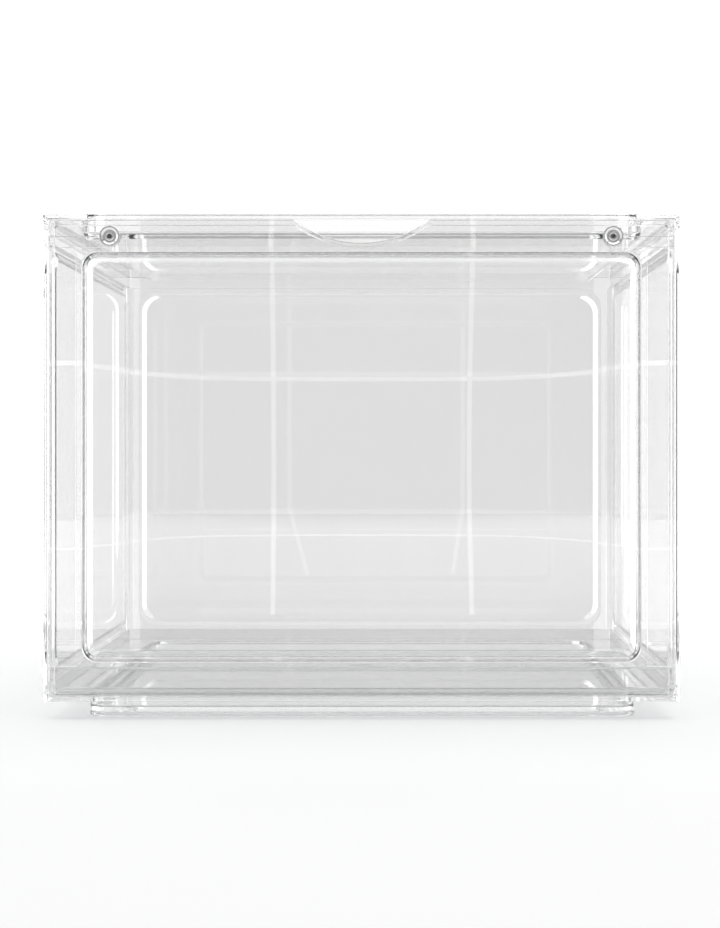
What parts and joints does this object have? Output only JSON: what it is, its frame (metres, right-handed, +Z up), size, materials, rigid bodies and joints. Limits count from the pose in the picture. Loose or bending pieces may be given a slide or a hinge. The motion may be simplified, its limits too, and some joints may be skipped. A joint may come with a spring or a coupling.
{
  "type": "shoe box",
  "caption": "Clear stackable shoe box: flat-pack panels, sunken foot, and a rimmed drop-front door with a thumb notch, held shut by magnets.",
  "frame": {"origin": "centre of the footprint, on the surface the box stands on", "axes": "+Z up, -Y towards the door (front), +X to the right as seen from the front"},
  "size_m": [0.28, 0.36, 0.2222],
  "materials": {
    "clear_plastic": "crystal-clear polished polystyrene",
    "steel": "plated, bright",
    "nickel": "nickel-plated magnet"
  },
  "bodies": {
    "box": {"base_panel": "clear_plastic", "top_panel": "clear_plastic", "left_side_panel": "clear_plastic", "right_side_panel": "clear_plastic", "back_panel": "clear_plastic", "magnet_left": "nickel", "magnet_right": "nickel"},
    "door": {"door": "clear_plastic", "washer_left": "steel", "washer_right": "steel", "rivet_left": "steel", "rivet_right": "steel"}
  },
  "joints": [
    {"name": "door_hinge", "type": "hinge", "parent": "box", "child": "door", "pos_m": [0, -0.1775, 0.0128], "axis": [1, 0, 0], "range_deg": [0, 90]}
  ]
}
